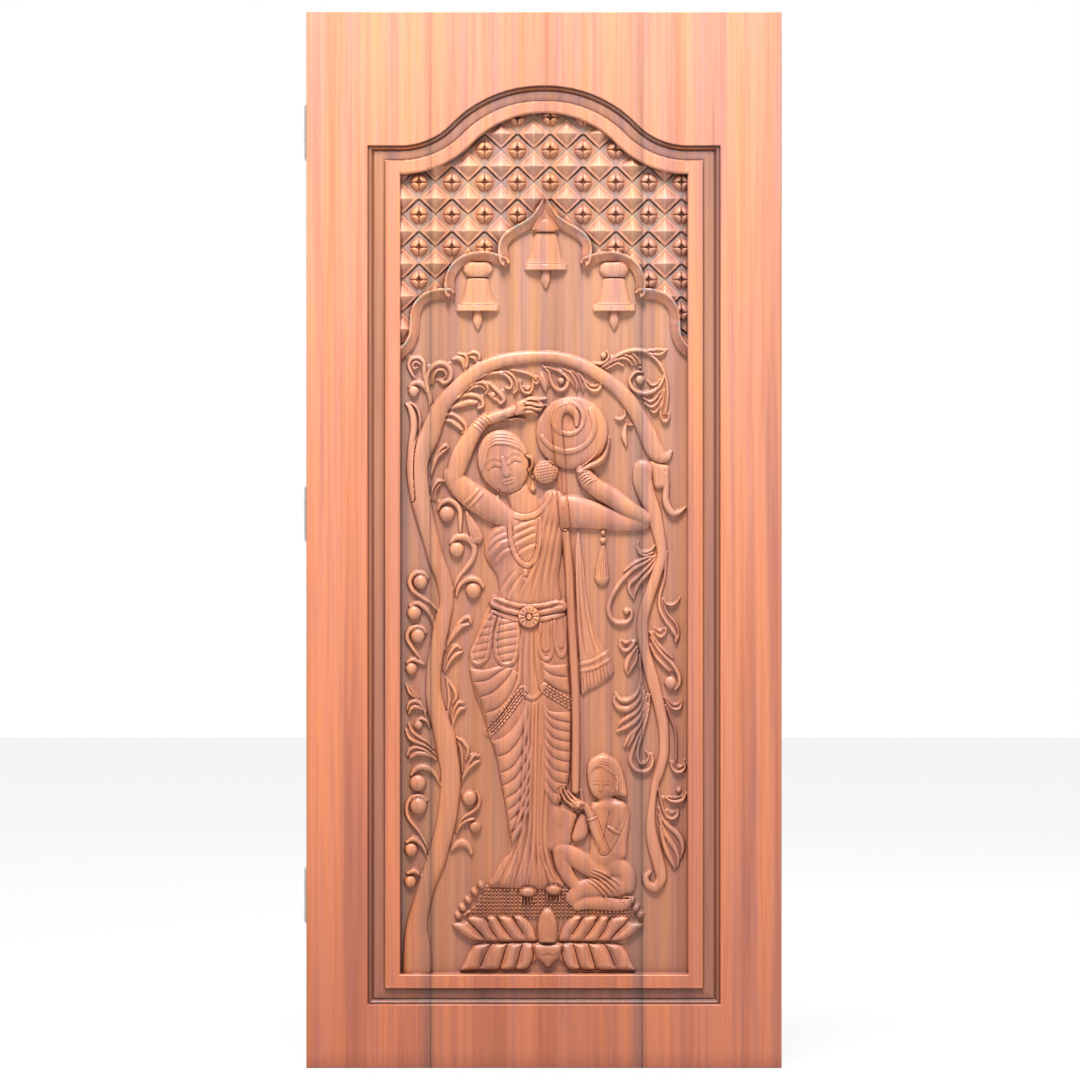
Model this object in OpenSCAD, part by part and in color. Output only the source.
// Carved solid-wood entrance door leaf on three butt hinges.
// The leaf is three upright planks glued edge to edge on loose tongues.
// Its front is carved in one with the planks: a border, a moulding with an
// ogee-arched head, and a sunk field with a relief of a water carrier,
// a child, a tree, a cusped canopy with bells, a lattice and a lotus.
// Front looks along -Y, +Z is up, the origin is the middle of the bottom edge.

/* [Leaf] */
// Width of the whole leaf
leaf_w = 914.4; // [820:0.1:1000]
// Height of the whole leaf
leaf_h = 2032; // [1950:1:2200]
// Thickness of the leaf
leaf_t = 45; // [42:0.5:60]
// Width of the plank on the hinge side
hinge_plank_w = 239; // [200:1:270]
// Width of the plank on the closing side
closing_plank_w = 268; // [230:1:300]

/* [Carved field] */
// Width of the sunk field
field_w = 554; // [500:1:580]
// Height of the field's foot above the leaf's foot
field_foot = 180; // [150:1:210]
// Rise of the ogee head above the straight sides
arch_rise = 118; // [90:1:130]
// From the ogee's point to the leaf's top
head_drop = 193; // [150:1:260]
// Depth of the field below the border
relief_depth = 20; // [16:0.5:22]

/* [Moulding] */
// Width of the step beside the border
step_w = 9; // [6:0.5:12]
// Width of the sloping cove
cove_w = 20; // [14:0.5:24]
// Width of the quirk beside the fillet
quirk_w = 5; // [3:0.5:7]
// Width of the flat fillet around the field
fillet_w = 24; // [18:0.5:28]
// Depth of the cove at its lowest
cove_depth = 8; // [5:0.5:10]
// Depth of the fillet below the border
fillet_drop = 1.5; // [1:0.1:3]

/* [Tongues] */
// Thickness of the loose tongues
tongue_t = 8; // [6:0.5:10]
// Width of the loose tongues
tongue_w = 28; // [20:1:36]
// Distance from the leaf's ends to the tongue's ends
tongue_stop = 60; // [40:1:100]
// Clearance around a tongue
tongue_clear = 0.2; // [0.1:0.05:0.4]

/* [Hinges] */
// Length of a hinge
hinge_len = 100; // [90:1:127]
// Width of one flap, from the pin's axis to its edge
flap_w = 38; // [34:0.5:40]
// Thickness of a flap
flap_t = 3; // [2.4:0.1:3.6]
// Gap between the flaps when the door is shut
flap_gap = 1; // [0.6:0.1:1.6]
// Outer diameter of the knuckles
knuckle_d = 13; // [12:0.1:15]
// Diameter of the pin
pin_d = 7; // [6:0.1:8]
// Running clearance between pin and knuckles, on the radius
pin_clear = 0.05; // [0.02:0.01:0.1]
// Gap between neighbouring knuckles
knuckle_gap = 0.4; // [0.3:0.05:0.8]
// Diameter of the pin's end caps
cap_d = 11; // [9:0.1:11.8]
// Height of the pin's end caps
cap_h = 4; // [3:0.1:6]
// From the leaf's top to the top of the upper hinge
top_hinge_drop = 178; // [150:1:230]
// From the leaf's foot to the bottom of the lower hinge
low_hinge_rise = 279; // [200:1:320]
// Distance of the pin's axis behind the back face
pin_setback = 7.4; // [7:0.1:9]
// Clearance around a flap in its gain
gain_clear = 0.3; // [0.1:0.05:0.5]

/* [Screws] */
// Diameter of the screw shanks
screw_d = 5; // [4:0.1:5.5]
// Diameter of the screw heads
head_d = 9.6; // [8:0.1:10.5]
// Length of the screws
screw_len = 38; // [25:1:50]
// Clearance of a screw in its hole, on the radius
screw_clear = 0.2; // [0.15:0.05:0.4]
// Distance between the screw holes along the hinge
hole_span = 70; // [60:1:76]
// Distance between the screw holes across the flap
hole_gauge = 14; // [10:0.5:16]

/* [Hidden] */
// Height of the straight sides of the field
field_h = leaf_h - field_foot - arch_rise - head_drop;
// Frame of the drawing that the carving is laid out in, in its own units
field_left_px = 401;
field_right_px = 688;
field_foot_px = 973.5;
field_spring_px = 174.5;
field_mid_px = (field_left_px + field_right_px) / 2;
unit_x = field_w / (field_right_px - field_left_px);
unit_z = field_h / (field_foot_px - field_spring_px);
function at_x(px) = (px - field_mid_px) * unit_x;
function at_z(py) = field_foot + (field_foot_px - py) * unit_z;

front_y = -leaf_t / 2;
back_y = leaf_t / 2;
field_y = front_y + relief_depth;
edge_x = -leaf_w / 2;
left_seam_x = edge_x + hinge_plank_w;
right_seam_x = leaf_w / 2 - closing_plank_w;
tongue_y = (field_y + back_y) / 2;
// Overrun of the cutting shapes
over = 5;
// Radius of the plain shapes that are scaled to size
unit_r = 1;
// Shortest step that sets the direction of a path
least_step = 0.1;
// How far the foot of a carved stroke is let into the field
sink = 1.5;
// Share of the room under the border that the carving may fill
carve_share = 0.94;
carve_h = relief_depth * carve_share;

wood = [0.80, 0.52, 0.36];
pale_wood = [0.78, 0.62, 0.44];
steel = [0.72, 0.72, 0.70];

// Ogee head: two arcs a side, meeting on one tangent
arc_turn = 2 * atan(arch_rise / (field_w / 2));
arc_r = field_w / 4 / sin(arc_turn);
arc_steps = 7;
// Outline of the field moved out by m, from its lower left corner round to the right
function head_left(m) = concat(
    [for (i = [0 : arc_steps])
        let (a = arc_turn * i / arc_steps)
        [-field_w / 2 + (arc_r - m) * sin(a),
         field_foot + field_h + arc_r - (arc_r - m) * cos(a)]],
    [for (i = [1 : arc_steps])
        let (a = arc_turn * (1 - i / arc_steps))
        [-(arc_r + m) * sin(a),
         field_foot + field_h + arch_rise - arc_r + (arc_r + m) * cos(a)]]);
function turned(path) = [for (i = [len(path) - 1 : -1 : 0]) [-path[i][0], path[i][1]]];
function outline(m) = concat(
    [[-field_w / 2 - m, field_foot - m], [-field_w / 2 - m, field_foot + field_h + m]],
    head_left(m),
    turned(head_left(m)),
    [[field_w / 2 + m, field_foot + field_h + m], [field_w / 2 + m, field_foot - m]]);

// Moulding section: distance outward from the field, depth below the border
moulding_w = step_w + cove_w + quirk_w + fillet_w;
section = [
    [moulding_w, -over],
    [moulding_w, 0],
    [moulding_w - step_w / 4, cove_depth / 2],
    [moulding_w - step_w * 2 / 3, cove_depth / 2],
    [moulding_w - step_w, cove_depth],
    [fillet_w + quirk_w, cove_depth / 3],
    [fillet_w + quirk_w * 2 / 3, cove_depth / 2],
    [fillet_w, fillet_drop],
    [0, fillet_drop],
    [0, relief_depth]];

// Solid between stacked rings of the same number of points
module rings_solid(rings) {
    n = len(rings[0]);
    last = len(rings) - 1;
    polyhedron(
        points = [for (r = rings) each r],
        faces = concat(
            [[for (i = [0 : n - 1]) i]],
            [for (k = [0 : last - 1]) for (i = [0 : n - 1])
                [k * n + i, (k + 1) * n + i, (k + 1) * n + (i + 1) % n, k * n + (i + 1) % n]],
            [[for (i = [n - 1 : -1 : 0]) last * n + i]]),
        convexity = 6);
}

// The room that the moulding and the field are cut from
module recess() {
    rings_solid([for (s = section) [for (p = outline(s[0])) [p[0], front_y + s[1], p[1]]]]);
}

// Everything that the carving may fill: the field, let into the walls around it
module field_room() {
    translate([0, field_y + sink * 2, 0]) rotate([90, 0, 0])
        linear_extrude(relief_depth + sink * 2) polygon(outline(sink));
}

// One carved stroke: a rounded ridge along a path of x, y, half width
function aim(p, i) =
    let (d = p[min(i + 1, len(p) - 1)] - p[max(i - 1, 0)])
    [d[0], d[1]] / max(norm([d[0], d[1]]), least_step);
module stroke(path, share, sides) {
    p = [for (q = path) [at_x(q[0]), at_z(q[1]), q[2] * unit_x]];
    widest = max([for (q = p) q[2]]);
    rings_solid([for (i = [0 : len(p) - 1])
        let (t = aim(p, i), q = p[i], lift = carve_h * share * sqrt(q[2] / widest))
        [for (k = [0 : sides])
            let (c = q[2] * cos(180 * k / sides), s = lift * sin(180 * k / sides))
            [q[0] - t[1] * c, field_y - (k == 0 || k == sides ? -sink : s), q[1] + t[0] * c]]]);
}

// A round boss: x, y, radius
module boss(q, share, facets) {
    translate([at_x(q[0]), field_y, at_z(q[1])])
        scale([q[2] * unit_x, carve_h * share, q[2] * unit_z])
            rotate([90, 0, 0]) sphere(unit_r, $fn = facets);
}

// Tree: trunk and arch over the figure, then the slim stem on the right
tree_px = [
    [[418, 976, 15.5], [418, 948, 14.5], [418.5, 918, 10.4], [428, 884, 9.4], [440, 850, 10.1],
     [448, 815, 10.4], [451, 780, 10.5], [446.5, 741, 10.8], [436.5, 706, 9.2], [434, 676, 8],
     [440.5, 634, 8.2], [447.5, 600, 7.8], [441, 569, 8.6], [429, 533, 9.2], [420.5, 495, 10.6],
     [419, 462, 11.6], [429, 435, 10.9], [441, 409, 9.3], [458, 388, 8.4], [480, 370.5, 8],
     [508, 360, 6.8], [540, 357, 6.1], [572, 361, 6.4], [600, 374, 7.1], [623, 393.5, 7.9],
     [640, 418.5, 8.8], [652, 445, 9.5], [661, 456.5, 6.8], [671.5, 451.5, 2]],
    [[647, 459, 6], [643, 472, 10.4], [646, 494, 9.7], [655, 517, 7.9], [661.5, 545, 6],
     [656, 576, 6], [646.5, 604, 6.4], [643, 632, 6.2], [649, 665, 6.5], [657, 695, 6.6],
     [664, 728, 6.2], [663.5, 757, 5.8], [654.5, 793, 4.5], [651.5, 820, 5.3], [656, 852, 7],
     [660.5, 872, 6.5], [653, 886.5, 4.7], [647.5, 880, 3.4], [650, 873.5, 2]],
    [[650, 461, 5], [661, 464, 4.9], [667, 478, 4.2], [666, 498, 4.3], [672, 512, 4.4],
     [685.5, 507, 1.3]],
    [[411, 495, 3], [409.7, 462, 3.7], [414.5, 430, 4.6], [413, 412, 4.2], [408, 404.5, 2.6]]];
tree_share = 0.68;
tree_sides = 4;

// Scroll balls
ball_px = [
    [414.5, 391.5, 6.2], [447.5, 514, 8.4], [457.3, 549.5, 8], [474, 590.5, 8.4], [421, 582, 7.8],
    [415, 613, 7.8], [418.5, 636, 7.8], [412, 668.5, 6.6], [419, 725, 5.2], [418.5, 783, 9],
    [419, 806, 9.2], [411.8, 849.5, 7.2], [411, 881.5, 6.6], [470, 798, 8.2], [476, 827, 6.4],
    [640.5, 380, 5.2], [561.5, 381, 4], [493.5, 395, 3.6], [604, 356, 3.6], [627, 611, 4],
    [671, 682.5, 7.2], [679, 790, 3.2]];
ball_share = 0.56;
ball_facets = 6;

// Scroll stems and leaves
scroll_px = [
    // Outside the arch, upper left
    [[431, 412, 2.5], [430, 397, 3.2], [425, 387, 3.7], [418, 383.3, 3.6], [411, 386, 2.3]],
    [[429, 392, 2.4], [427, 372, 3], [424, 361, 3], [416, 357.5, 2.8], [410, 362, 2.6],
     [411, 371, 2.3], [416, 380, 1.5]],
    [[430, 392, 2.2], [428.5, 378, 2.6], [433, 367, 3.2], [443.5, 364, 3.4], [450.5, 370, 3.4],
     [450, 379.5, 3], [444, 383, 2.4], [440, 379.5, 1.8]],
    [[454, 360, 2], [459, 357.5, 3.4], [464.5, 360.5, 3.8], [466.5, 368, 2.8], [465, 373, 1.8]],
    // Inside the arch, left to right
    [[449, 404, 2.6], [459, 397, 3], [471, 394.8, 3], [481, 398.5, 2.9], [483.5, 405.5, 2.6],
     [479, 409, 2]],
    [[447, 415, 2], [456, 416, 2.8], [464, 423, 2.9], [466.5, 431, 2.2]],
    [[463, 394, 1.8], [471, 387.5, 2.2], [480, 383.5, 2.6], [487, 386, 2.6], [487, 393.5, 1.8]],
    [[486, 383, 2], [493, 386.5, 2.8], [501, 393.5, 3.3], [503.5, 400, 2.9], [500, 404, 2]],
    [[482, 378, 1.6], [493, 373.5, 2.4], [504, 374, 2.6], [511, 380, 2.6], [510.5, 388, 1.9]],
    [[521, 381, 1.6], [522, 389.5, 2.3], [528, 393.5, 2.6], [533, 388, 2.3], [533.5, 381.5, 1.7]],
    [[541.5, 373, 1.5], [544, 381, 4.1], [546, 389.5, 2.6], [546.5, 394, 1]],
    [[544, 367, 1.6], [551, 379, 2.5], [557, 389, 2.8], [565.5, 388.5, 2.8], [568, 380, 2.5]],
    [[580, 374, 1.6], [587, 386, 2.5], [595, 391.5, 2.6], [601.5, 385, 2]],
    [[628, 422, 1.5], [624.5, 432, 3], [625, 440, 3.4], [627, 447, 1.2]],
    // Outside the arch, upper right
    [[602, 368, 1.8], [613, 360, 2.4], [626, 352.3, 2.8], [640, 350.8, 2.8], [652, 356, 2.5],
     [661, 366, 2.4], [667, 382, 2.2], [667.5, 400, 2.1], [665, 414, 1.8]],
    [[642, 372.3, 1.8], [633, 375, 2.3], [630.3, 382, 2.5], [634.5, 390, 2.7], [645.5, 394, 3],
     [656, 390, 2.9], [662.5, 381, 2.2], [664, 373, 1.6]],
    [[644, 398, 1.6], [652, 401.5, 2.3], [660, 393, 1.8]],
    [[664, 392, 1.6], [661.5, 411, 2], [665, 421.5, 2.1], [670, 414, 1.6]],
    // Right column, downwards
    [[638, 542, 1.7], [641, 550.5, 2.5], [648.5, 550.5, 2.4], [655, 545, 1.6]],
    [[656, 556.5, 1.8], [640, 560.5, 2.9], [625, 571.5, 1.6]],
    [[655, 558, 1.7], [636, 568.5, 3], [621, 582, 3], [611, 598, 3], [609, 612, 3.2],
     [616, 621.5, 3.2], [627, 622, 3], [632, 614, 2.3], [628.5, 609, 1.6]],
    [[655.5, 559.5, 1.7], [641, 574, 3], [630.5, 585, 2.6], [634.5, 599, 1.3]],
    [[667, 552, 1.6], [665, 578, 2], [659.5, 600, 2.3], [668, 617, 2.7], [677.5, 630, 2.6],
     [675.5, 640, 1.8]],
    [[664, 599, 1.5], [670, 605, 2.3], [680, 598.5, 1.5]],
    [[654.5, 631, 1.5], [660, 636.5, 2.3], [666.5, 629, 1.6]],
    [[621, 641, 1.7], [624.5, 650.3, 2.8], [635.5, 642, 1.8]],
    [[637.5, 648, 1.6], [630, 658, 3.5], [626.5, 674, 1.3]],
    [[651, 640, 1.7], [664, 656, 2.8], [677, 669, 3], [680.5, 681, 3], [675, 690, 2.2]],
    [[665, 698, 1.4], [672, 708.5, 2.2], [682, 703, 1.6]],
    [[640.5, 660, 1.6], [640, 684, 2.4], [630, 699, 3.3], [620, 699, 3], [616, 692, 1.9]],
    [[642, 676, 1.6], [639.5, 698, 3], [627, 708.5, 3.7], [617.5, 706, 3.2], [613.5, 700, 1.8]],
    [[645, 687, 1.6], [640, 706, 2.9], [629, 717.5, 3], [616.5, 731, 1.5]],
    [[647, 693, 1.6], [642, 715, 2.8], [631, 731, 3], [624.5, 746, 1.4]],
    [[649, 698, 1.7], [645, 722, 2.2], [635, 745, 2.7], [630.8, 760, 3], [636, 769.5, 3],
     [646, 771, 2.9], [653, 762, 2.4], [650, 753.5, 1.7]],
    [[667, 707, 1.5], [675, 727, 1.8], [677, 750, 1.8], [672, 764, 1.9], [678, 772.5, 2.5],
     [686, 764, 1.6]],
    [[665, 796, 1.5], [673, 801.5, 2.5], [686, 795, 1.9]],
    [[664, 810, 1.4], [671, 818.5, 2.5], [678.5, 810, 1.6]],
    [[658.5, 806, 1.6], [667, 823, 2.9], [678, 833.5, 3.6], [683, 845, 3], [681, 857, 1.4]],
    [[658.5, 816, 1.7], [666.5, 835, 3.5], [676, 850, 3.5], [678, 866, 1.5]],
    [[660, 828, 1.8], [666.5, 849, 3.3], [676, 869, 1.3]],
    // Left of the trunk, downwards
    [[437, 618, 1.6], [428, 602, 2.6], [413, 591, 3], [409.5, 581.5, 3.2], [416, 573, 3.4],
     [424.5, 573.5, 3], [429, 579, 2]],
    [[435.5, 636, 1.5], [433, 617, 2.8], [424, 605, 3.4], [416, 603, 3.1], [410, 608, 2.2]],
    [[425, 666, 1.6], [413, 649, 2.7], [407.5, 638, 2.8], [411.5, 628.5, 3.4], [420, 626.5, 3.3],
     [427, 632, 2.1]],
    [[425, 666, 1.8], [417, 659.5, 3], [408, 662, 2.3]],
    [[427, 708, 1.6], [417, 697, 2.7], [407, 685, 1.6]],
    [[428, 714, 1.6], [419, 703, 2.8], [411, 702, 2.5], [408, 709, 1.7]],
    [[431, 727, 1.6], [425, 718.8, 2.6], [416, 721, 1.9]],
    [[434, 755, 1.5], [416, 742, 2.8], [406.5, 730, 1.6]],
    [[437, 761, 1.5], [423, 748.5, 2.8], [412, 748, 2.5], [407.5, 755, 1.7]],
    [[440, 785, 1.6], [434, 771.5, 3.2], [422, 767, 3.8], [412, 774, 2.4]],
    [[430, 860, 1.5], [419, 832, 2.5], [407.5, 815, 2.7], [408.5, 802, 3.1], [418, 796, 3.4],
     [427.5, 802, 2.3]],
    [[427, 856, 1.5], [420, 842, 3.1], [410, 840, 2.6], [406, 846, 1.8]],
    [[424, 881, 1.6], [418, 872.3, 3], [407, 874, 2.2]],
    // Right of the trunk, downwards
    [[432, 478, 1.6], [437, 456, 2.7], [449, 446, 2]],
    [[433, 500, 1.6], [436, 486, 2.5], [444.5, 480.5, 1.8]],
    [[461, 534, 1.8], [461.5, 516, 3.2], [456, 503, 3.4], [446.5, 501, 3.1], [440, 508, 2.2]],
    [[454, 598, 1.7], [464, 573, 3], [475, 555, 3.5], [470, 540.5, 4], [458, 537, 3.7],
     [450.5, 544, 2.4]],
    [[455, 602, 1.7], [461, 584.5, 2.9], [472, 578.5, 3.5], [482.5, 585.5, 2.8]],
    [[446, 648, 1.6], [454, 631.5, 2.8], [466, 618, 3], [471.5, 622, 2]],
    [[444.5, 668, 1.6], [451, 652, 2.6], [461.5, 647.5, 1.8]],
    [[446.5, 678, 1.6], [454.5, 689.5, 3], [454, 704, 1.7]],
    [[454, 733, 1.5], [455, 711, 2.4], [464.5, 702, 2.1]],
    [[458, 738, 1.6], [467.5, 747, 2.8], [467, 762, 1.8]],
    [[464, 782, 1.5], [470.5, 763, 2.5], [480, 756, 1.9]],
    [[460, 826, 1.6], [472, 813, 2.7], [480.5, 801, 2.7], [475, 791, 1.9]],
    [[452, 851, 2], [459, 842.8, 3.9], [468, 845, 3.8], [473, 855, 2]]];
scroll_share = 0.42;
scroll_sides = 2;

// Cusped canopy trim, left half; its right half mirrors about the middle of the bells
canopy_mid_px = 545.5;
canopy_px = [
    [[398, 357, 5.4], [409.5, 347.5, 5.4], [415.5, 336, 5.3], [416.3, 318, 5.3], [421, 304, 5.5],
     [431, 295.8, 5.6], [442, 293.3, 5.6], [450, 293, 5]],
    [[450, 292, 5], [451.5, 279.5, 5.1], [457, 267.5, 5.4], [467, 259.5, 5.6], [482, 256.8, 5.6],
     [497, 259.3, 5.6], [506, 262.5, 5]],
    [[505, 260, 5], [505, 246.5, 5.1], [511, 236.3, 5.4], [523, 228.3, 5.8], [535, 220, 6],
     [543, 209, 4.8], [545.5, 199, 2]]];
canopy_share = 0.62;
canopy_sides = 3;

// Bells: x, top y
bell_px = [[478.3, 262], [614.5, 262], [545.6, 222]];
// Half widths and drops of one bell's outline from its top
bell_section_px = [[3, 0], [13, 3], [15.3, 9], [11.5, 15], [13, 24], [16, 37], [21, 45], [21, 49]];
// Radius of the clapper and its drop from the bell's top
clapper_px = [4.8, 57];
bell_share = 0.6;

// Lattice of diamonds: first flower, steps, rows and columns
flower_px = [419.7, 118];
flower_step_px = [32.75, 32.5];
flower_r_px = 9;
lattice_cols = 8;
lattice_rows = 6;
lattice_share = 0.4;
flower_share = 0.5;
flower_facets = 6;
diamond_sides = 4;
// Where the lattice ends above the canopy, left half
lattice_edge_px = [[398, 357], [409.5, 347.5], [415.5, 336], [416.3, 318], [421, 304], [431, 295.8],
                   [442, 293.3], [450, 292], [451.5, 279.5], [457, 267.5], [467, 259.5], [482, 256.8],
                   [497, 259.3], [505, 260], [505, 246.5], [511, 236.3], [523, 228.3], [535, 220],
                   [543, 209], [545.5, 199]];
lattice_top_px = 100;

// Water carrier, back to front: share of the relief, then path
figure_px = [
    // Shawl end
    [0.42, [[576, 530, 5], [582, 590, 10], [594, 650, 18], [599, 684, 15]]],
    // Skirt
    [0.68, [[529, 600, 32], [521.5, 638, 45], [519, 668, 49.5], [526, 705, 45.5], [535, 780, 34],
            [530, 832, 20], [531, 852, 19.5], [526.5, 886, 36.5]]],
    // Torso
    [0.66, [[534, 500, 20], [531, 524, 33], [524, 548, 38.5], [529, 580, 31], [528, 602, 32]]],
    // Neck
    [0.5, [[515, 488, 9], [530, 512, 12]]],
    // Arm at the left: upper arm, then forearm and hand
    [0.74, [[508, 517, 10], [490, 507, 13.5], [467, 492, 13.5], [452, 474, 9]]],
    [0.8, [[453, 477, 8], [463, 455, 11], [479, 428, 8], [498, 414, 7.5], [520, 406, 7]]],
    // Arm at the right: upper arm, then forearm and hand
    [0.74, [[556, 508, 14], [572, 512, 16.5], [606, 519, 12], [644, 522, 8.5]]],
    [0.82, [[647, 520, 7], [630, 508.5, 10], [607, 494, 10.2], [588, 482, 8]]],
    // Pendants and tassels
    [0.5, [[467, 511, 2], [478, 540, 6.6]]],
    [0.5, [[603.5, 545, 2], [603.5, 579, 8.4]]]];
figure_sides = 4;
// Facets round the larger bosses
boss_facets = 10;

// Round parts of the water carrier: x, y, radius, share
figure_boss_px = [[506, 461, 29, 0.93], [545.5, 471, 13, 0.72], [572, 434, 37, 0.9],
                  [500, 547, 17, 0.8], [549, 540, 17, 0.78], [528.6, 616.6, 10.7, 0.87]];
// Beads and ear drops: x, y, radius, share
bead_px = [[603.5, 532, 3.2, 0.5], [603.5, 540.5, 3.6, 0.5], [525.5, 573.5, 3, 0.78],
           [533.5, 486, 3.6, 0.6], [617, 788, 2.3, 0.86]];

// Bands, necklaces, fingers and folds that lie on the figure: share, then path
fold_px = [
    [0.96, [[552, 437, 2], [547, 421, 2.4], [553, 407, 2.6], [564, 404, 2.6], [574, 411, 2.6],
            [577, 423, 2.4], [573, 434, 2]]],
    [0.98, [[561, 409, 8], [558, 424, 5.8], [560, 440, 5], [563, 470, 4.2]]],
    [0.8, [[563, 470, 4.2], [565.5, 520, 4.8], [569.5, 575, 5.2], [573, 645, 5.3], [575.5, 710, 5],
           [576, 760, 5.4], [576, 792, 4.6]]],
    [0.94, [[580, 472, 4], [592, 465.5, 4.8], [603, 459, 4], [608.5, 447, 2.8], [610, 437, 1.5]]],
    [0.9, [[584, 471, 1.6], [592, 475.5, 2], [597.5, 484, 1.6]]],
    [0.9, [[483, 412, 1.6], [487.5, 420, 2], [493, 427, 1.6]]],
    [0.9, [[518, 401.5, 2.4], [530, 398.8, 2.4], [546, 399.5, 1.6]]],
    [0.9, [[518, 407, 2.4], [530, 404.5, 2.4], [546, 405.5, 1.6]]],
    [0.88, [[518, 412, 2.4], [531, 410, 2.4], [542, 411.5, 1.7]]],
    [0.86, [[502, 419.5, 2.4], [514, 419.5, 2.7], [526, 420, 1.8]]],
    [0.8, [[504, 508, 2.2], [515, 515, 3.3], [525, 517, 3.4], [536, 514, 3.2], [545, 506, 2.7],
           [550.5, 496, 1.9]]],
    [0.84, [[511, 514, 1.9], [510.5, 535, 2.3], [513, 551, 2.4], [519, 562, 2.6], [526, 566, 2.7],
            [533, 560, 2.5], [538, 545, 2.3], [540, 522, 1.7]]],
    [0.82, [[491, 604, 2.4], [506, 613.5, 3.3], [529, 617.5, 3.4], [549, 614, 3.3], [565, 610, 2.5]]],
    [0.76, [[491, 613, 1.8], [479, 638, 2.4], [472.5, 656, 2.4], [480, 664.5, 2.6], [488.5, 653, 2.4],
            [495, 617, 1.8]]],
    [0.8, [[500, 619, 1.9], [496, 645, 2.4], [504, 666, 2.6], [515, 659, 2.5], [518, 624, 1.9]]],
    [0.78, [[474, 680.5, 1.2], [487, 679, 2.6], [502, 665, 1.3]]],
    [0.79, [[485, 709.5, 1.2], [499, 704, 2.7], [517, 682, 1.3]]],
    [0.8, [[491, 732, 1.4], [507, 716, 4.2], [522, 693, 1.6]]],
    [0.8, [[546, 690, 1.6], [559, 700, 4.2], [571, 708, 1.4]]],
    [0.79, [[499, 757, 1.2], [512, 750, 2.7], [525, 706, 1.3]]],
    [0.79, [[505, 789, 1.2], [517, 782, 2.6], [528.5, 752, 1.3]]],
    [0.79, [[548, 709, 1.3], [557, 721, 2.5], [569, 721, 1.2]]],
    [0.79, [[549, 740, 1.3], [558, 746, 2.5], [568, 745, 1.2]]],
    [0.78, [[534, 640, 1.6], [535, 700, 2.6], [536, 780, 2.8], [533.5, 840, 2.6], [535, 885, 1.8]]],
    [0.72, [[527, 790, 1.4], [523, 840, 2.3], [511, 865, 2.3], [497, 882, 1.4]]],
    [0.72, [[543, 790, 1.4], [541, 840, 2.3], [549, 866, 2.2], [558, 883, 1.4]]]];
fold_sides = 2;

// Child: share of the relief, then path
child_px = [
    // Body and folded legs
    [0.66, [[605, 797, 16], [608.5, 818, 19.5], [607, 868, 18]]],
    [0.62, [[596, 866, 10], [574, 855, 11], [560, 847, 7]]],
    [0.62, [[559, 850, 7], [564, 868, 9.2], [578, 888, 8]]],
    [0.66, [[606, 876, 14], [620, 873, 15], [627, 880, 9]]],
    [0.6, [[568, 904, 5], [580, 895, 9.5], [606, 895, 11], [629, 903, 6]]],
    // Arm behind, with the elbow
    [0.58, [[588, 824, 6], [569, 831, 9], [557, 812, 4.5]]],
    // Arm in front
    [0.76, [[622, 804, 7], [617, 824, 8.4], [606, 850, 7]]],
    [0.78, [[606, 853, 5.5], [593, 826, 6.2], [577, 802, 4]]],
    // Cupped hands
    [0.74, [[584, 806, 3.6], [573, 801, 3.4], [564, 789, 1.6]]],
    [0.7, [[580, 809, 3.2], [568, 805, 3], [560, 793, 1.6]]],
    // Hair
    [0.84, [[589, 772, 4], [595, 759, 6], [613, 760, 7.3], [622, 777, 6.7], [624, 796, 4.5]]]];
child_boss_px = [[602.5, 780, 14.5, 0.84], [602, 789, 11.5, 0.82]];

// Lotus, left half: share, then path; the right half mirrors about its middle
lotus_mid_px = 548.5;
lotus_px = [
    [0.5, [[486, 889, 2.4], [481, 886, 3], [477, 881, 1.2]]],
    [0.5, [[480, 898, 2.4], [475, 893, 3], [471, 888, 1.2]]],
    [0.5, [[474, 905, 2.4], [469, 900, 3], [464.5, 896, 1.2]]],
    [0.5, [[469, 912, 2.4], [463.5, 908, 3], [459, 904, 1.2]]],
    [0.6, [[492, 940, 4], [473, 929, 6.4], [452, 922, 1.8]]],
    [0.64, [[506, 939, 4.2], [488, 926.5, 7], [469, 915, 2]]],
    [0.64, [[521, 939, 4.2], [506, 926, 7], [486.5, 915, 2]]],
    [0.64, [[532, 939, 4.2], [521, 925, 7], [503.5, 914.5, 2]]],
    [0.64, [[539, 939, 4], [532, 926, 5.8], [520, 915, 2]]],
    [0.56, [[487, 945, 3.2], [473, 954.5, 6.3], [463.5, 970, 2.6]]],
    [0.6, [[499, 945, 4], [487, 955.5, 6.5], [478, 970, 2.6]]],
    [0.6, [[513, 945, 4], [503, 955.5, 6.5], [493, 970, 2.6]]],
    [0.6, [[525, 945, 4], [516.5, 955.5, 6.2], [507.5, 970, 2.8]]],
    [0.6, [[536, 945, 3.6], [529.5, 955.5, 5.8], [522.5, 970, 2.8]]]];
lotus_bud_px = [
    [0.7, [[548.5, 941, 11], [548.5, 928, 11.5], [548.5, 917, 8], [548.5, 907, 1.6]]],
    [0.68, [[548.5, 943, 10.5], [548.5, 952, 12], [548.5, 961, 8.5], [548.5, 970, 1.6]]]];
// Platform under the feet
platform_px = [[489, 885], [520, 888], [562, 885], [600, 905], [632, 903], [640, 916], [560, 919],
               [458, 919], [468, 909]];
platform_share = 0.3;

module mirrored(mid_px) {
    children();
    translate([at_x(mid_px), 0, 0]) mirror([1, 0, 0]) translate([-at_x(mid_px), 0, 0]) children();
}

module flat_px(path, share) {
    translate([0, field_y + sink, 0]) rotate([90, 0, 0])
        linear_extrude(carve_h * share + sink)
            polygon([for (q = path) [at_x(q[0]), at_z(q[1])]]);
}

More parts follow.
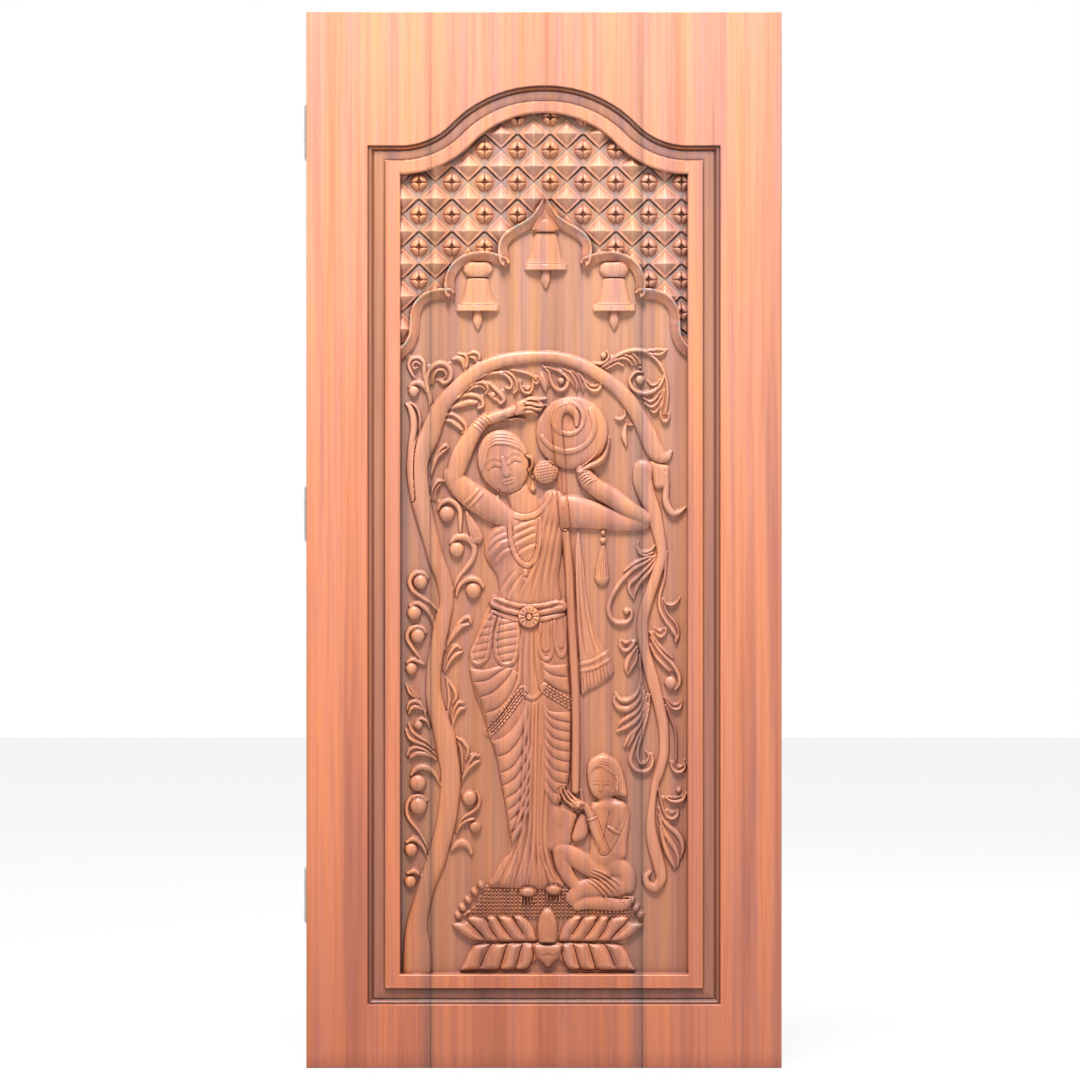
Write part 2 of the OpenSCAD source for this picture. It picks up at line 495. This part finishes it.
module bell(at) {
    stroke([for (s = bell_section_px) [at[0], at[1] + s[1], s[0]]], bell_share, figure_sides);
    boss([at[0], at[1] + clapper_px[1], clapper_px[0]], lattice_share, ball_facets);
}

// One diamond of the lattice, standing on its corner
module diamond(px, py) {
    translate([at_x(px), field_y + sink, at_z(py)]) rotate([90, 0, 0])
        scale([flower_step_px[0] / 2 * unit_x, flower_step_px[1] / 2 * unit_z, unit_r])
            cylinder(r1 = unit_r, r2 = 0, h = carve_h * lattice_share + sink, $fn = diamond_sides);
}

// One flower of the lattice, a boss with a narrower crown
module flower(px, py) {
    translate([at_x(px), field_y + sink, at_z(py)]) rotate([90, 0, 0]) hull() {
        cylinder(r = flower_r_px * unit_x, h = sink, $fn = flower_facets);
        cylinder(r = flower_r_px * unit_x * 2 / 3, h = carve_h * flower_share + sink,
                 $fn = flower_facets);
    }
}

module lattice() {
    intersection() {
        translate([0, field_y + sink, 0]) rotate([90, 0, 0]) linear_extrude(carve_h)
            polygon([for (q = concat([[lattice_edge_px[0][0], lattice_top_px]], lattice_edge_px,
                                     [for (i = [len(lattice_edge_px) - 1 : -1 : 0])
                                         [2 * canopy_mid_px - lattice_edge_px[i][0],
                                          lattice_edge_px[i][1]]],
                                     [[2 * canopy_mid_px - lattice_edge_px[0][0],
                                       lattice_top_px]]))
                     [at_x(q[0]), at_z(q[1])]]);
        for (i = [0 : lattice_cols], j = [0 : lattice_rows]) {
            diamond(flower_px[0] + i * flower_step_px[0] - flower_step_px[0] / 2,
                    flower_px[1] + j * flower_step_px[1] + flower_step_px[1] / 2);
            flower(flower_px[0] + i * flower_step_px[0], flower_px[1] + j * flower_step_px[1]);
        }
    }
}

module carving() {
    for (p = tree_px) stroke(p, tree_share, tree_sides);
    for (q = ball_px) boss(q, ball_share, ball_facets);
    for (p = scroll_px) stroke(p, scroll_share, scroll_sides);
    mirrored(canopy_mid_px) for (p = canopy_px) stroke(p, canopy_share, canopy_sides);
    for (q = bell_px) bell(q);
    lattice();
    for (f = figure_px) stroke(f[1], f[0], figure_sides);
    for (q = figure_boss_px) boss(q, q[3], boss_facets);
    for (q = bead_px) boss(q, q[3], ball_facets);
    for (f = fold_px) stroke(f[1], f[0], fold_sides);
    for (f = child_px) stroke(f[1], f[0], figure_sides);
    for (q = child_boss_px) boss(q, q[3], boss_facets);
    mirrored(lotus_mid_px) for (f = lotus_px) stroke(f[1], f[0], canopy_sides);
    for (f = lotus_bud_px) stroke(f[1], f[0], figure_sides);
    flat_px(platform_px, platform_share);
}

// Hinges: the pin's axis and the three heights
pin_x = edge_x - flap_gap / 2;
pin_y = back_y + pin_setback;
top_hinge_z = leaf_h - top_hinge_drop - hinge_len / 2;
low_hinge_z = low_hinge_rise + hinge_len / 2;
mid_hinge_z = (top_hinge_z + low_hinge_z) / 2;
hinge_zs = [top_hinge_z, mid_hinge_z, low_hinge_z];
knuckle_count = 5;
knuckle_len = hinge_len / knuckle_count;
// Middle of the screw pattern, measured from the pin's axis
pattern_y = (flap_w + knuckle_d / 2) / 2;
hole_ys = [-pattern_y - hole_gauge / 2, -pattern_y + hole_gauge / 2];
hole_zs = [-hole_span / 2, hole_span / 2];
head_h = (head_d - screw_d) / 2;
// Facets round a screw's hole in the wood
hole_facets = 12;

module gains() {
    for (z = hinge_zs) {
        translate([edge_x - over, pin_y - flap_w - gain_clear, z - hinge_len / 2 - gain_clear])
            cube([over + flap_t, flap_w + over, hinge_len + gain_clear * 2]);
        for (y = hole_ys, h = hole_zs)
            translate([edge_x, pin_y + y, z + h]) rotate([0, 90, 0])
                cylinder(d = screw_d + screw_clear * 2, h = screw_len + screw_clear, $fn = hole_facets);
    }
}

module groove(x) {
    translate([x - tongue_w / 2 - tongue_clear, tongue_y - tongue_t / 2 - tongue_clear,
               tongue_stop - tongue_clear])
        cube([tongue_w + tongue_clear * 2, tongue_t + tongue_clear * 2,
              leaf_h - tongue_stop * 2 + tongue_clear * 2]);
}

module carved_leaf() {
    difference() {
        translate([edge_x, front_y, 0]) cube([leaf_w, leaf_t, leaf_h]);
        recess();
        groove(left_seam_x);
        groove(right_seam_x);
        gains();
    }
    intersection() {
        field_room();
        carving();
    }
}

// One plank: the part of the carved leaf between two upright cuts
module plank(from_x, to_x) {
    color(wood) intersection() {
        translate([from_x, front_y - over, -over])
            cube([to_x - from_x, leaf_t + over * 2, leaf_h + over * 2]);
        carved_leaf();
    }
}

module left_plank() {
    plank(edge_x - over, left_seam_x);
}

module middle_plank() {
    plank(left_seam_x, right_seam_x);
}

module right_plank() {
    plank(right_seam_x, leaf_w / 2 + over);
}

module tongue(x) {
    color(pale_wood) translate([x - tongue_w / 2, tongue_y - tongue_t / 2, tongue_stop])
        cube([tongue_w, tongue_t, leaf_h - tongue_stop * 2]);
}

module left_tongue() {
    tongue(left_seam_x);
}

module right_tongue() {
    tongue(right_seam_x);
}

// One flap of a hinge at its pin; side is 1 for the leaf and -1 for the frame
module flap(side, own) {
    difference() {
        union() {
            translate([side > 0 ? flap_gap / 2 : -flap_gap / 2 - flap_t, -flap_w, -hinge_len / 2])
                cube([flap_t, flap_w, hinge_len]);
            for (k = own)
                translate([0, 0, -hinge_len / 2 + k * knuckle_len + knuckle_gap / 2])
                    cylinder(d = knuckle_d, h = knuckle_len - knuckle_gap);
        }
        // Room for the other flap's knuckles
        for (k = [0 : knuckle_count - 1])
            if (len(search(k, own)) == 0)
                translate([0, 0, -hinge_len / 2 + k * knuckle_len - knuckle_gap / 2])
                    cylinder(r = knuckle_d / 2 + knuckle_gap, h = knuckle_len + knuckle_gap);
        // Bore for the pin
        translate([0, 0, -hinge_len / 2 - over])
            cylinder(r = pin_d / 2 + pin_clear, h = hinge_len + over * 2);
        // Countersunk screw holes
        for (y = hole_ys, h = hole_zs)
            translate([side * flap_gap / 2, y, h]) rotate([0, side * 90, 0]) {
                translate([0, 0, -over]) cylinder(d = screw_d, h = flap_t + over * 2);
                cylinder(d1 = head_d, d2 = screw_d, h = head_h);
            }
    }
}

leaf_knuckles = [1, 3];
frame_knuckles = [0, 2, 4];

module leaf_flap(z) {
    color(steel) translate([pin_x, pin_y, z]) flap(1, leaf_knuckles);
}

module frame_flap(z) {
    color(steel) translate([pin_x, pin_y, z]) flap(-1, frame_knuckles);
}

module hinge_pin(z) {
    color(steel) translate([pin_x, pin_y, z]) {
        translate([0, 0, -hinge_len / 2 - cap_h]) cylinder(d = cap_d, h = cap_h);
        translate([0, 0, -hinge_len / 2]) cylinder(d = pin_d, h = hinge_len);
        translate([0, 0, hinge_len / 2]) cylinder(d = cap_d, h = cap_h);
    }
}

module top_leaf_flap() {
    leaf_flap(top_hinge_z);
}

module middle_leaf_flap() {
    leaf_flap(mid_hinge_z);
}

module bottom_leaf_flap() {
    leaf_flap(low_hinge_z);
}

module top_frame_flap() {
    frame_flap(top_hinge_z);
}

module middle_frame_flap() {
    frame_flap(mid_hinge_z);
}

module bottom_frame_flap() {
    frame_flap(low_hinge_z);
}

module top_pin() {
    hinge_pin(top_hinge_z);
}

module middle_pin() {
    hinge_pin(mid_hinge_z);
}

module bottom_pin() {
    hinge_pin(low_hinge_z);
}

module leaf_screws() {
    color(steel) for (z = hinge_zs, y = hole_ys, h = hole_zs)
        translate([edge_x, pin_y + y, z + h]) rotate([0, 90, 0]) {
            cylinder(d1 = head_d, d2 = screw_d, h = head_h);
            translate([0, 0, head_h]) cylinder(d = screw_d, h = screw_len - head_h - screw_d);
            translate([0, 0, screw_len - screw_d]) cylinder(d1 = screw_d, d2 = screw_d / 4, h = screw_d);
        }
}

left_plank();
middle_plank();
right_plank();
left_tongue();
right_tongue();
top_leaf_flap();
middle_leaf_flap();
bottom_leaf_flap();
top_frame_flap();
middle_frame_flap();
bottom_frame_flap();
top_pin();
middle_pin();
bottom_pin();
leaf_screws();
